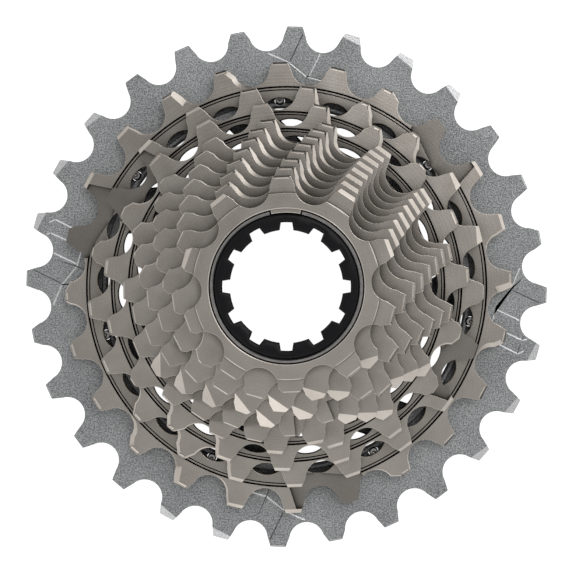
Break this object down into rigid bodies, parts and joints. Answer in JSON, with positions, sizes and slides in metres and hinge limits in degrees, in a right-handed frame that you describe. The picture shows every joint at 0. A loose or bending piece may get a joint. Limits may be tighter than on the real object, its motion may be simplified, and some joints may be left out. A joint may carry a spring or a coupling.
{
  "type": "bicycle cassette sprocket",
  "caption": "Stepped cassette of bicycle chain sprockets on a slotted carrier, with a lock tube that turns inside the small end to clamp it on a freehub driver.",
  "frame": {"origin": "on the cassette's axis, in the plane of the largest sprocket's back face", "axes": "+Z along the axis from the largest sprocket towards the smallest; +Y towards the gap in the retaining ring"},
  "size_m": [0.1164, 0.1164, 0.0421],
  "materials": {
    "nickel_steel": "satin nickel over machined steel",
    "blasted_aluminium": "bead blasted",
    "black_anodised": "black anodised",
    "spring_steel": "polished",
    "bronze": "turned"
  },
  "bodies": {
    "cluster": {"sprocket_10t": "nickel_steel", "sprocket_11t": "nickel_steel", "sprocket_12t": "nickel_steel", "sprocket_13t": "nickel_steel", "sprocket_14t": "nickel_steel", "sprocket_15t": "nickel_steel", "sprocket_16t": "nickel_steel", "sprocket_17t": "nickel_steel", "sprocket_19t": "nickel_steel", "sprocket_21t": "nickel_steel", "sprocket_24t": "nickel_steel", "sprocket_28t": "blasted_aluminium", "retaining_ring": "spring_steel", "dome_pin_1": "spring_steel", "dome_pin_2": "spring_steel", "dome_pin_3": "spring_steel", "dome_pin_4": "spring_steel", "dome_pin_5": "spring_steel", "dome_pin_6": "spring_steel", "dome_pin_7": "spring_steel"},
    "thrust_washer": {"thrust_washer": "bronze"},
    "lock_tube": {"lock_tube": "black_anodised"}
  },
  "joints": [
    {"name": "lock_tube_float", "type": "slide", "parent": "cluster", "child": "thrust_washer", "axis": [0, 0, 1], "range_m": [0, 0.0004]},
    {"name": "lock_tube_spin", "type": "hinge", "parent": "thrust_washer", "child": "lock_tube", "pos_m": [0, 0, 0.04], "axis": [0, 0, 1], "continuous": true}
  ]
}
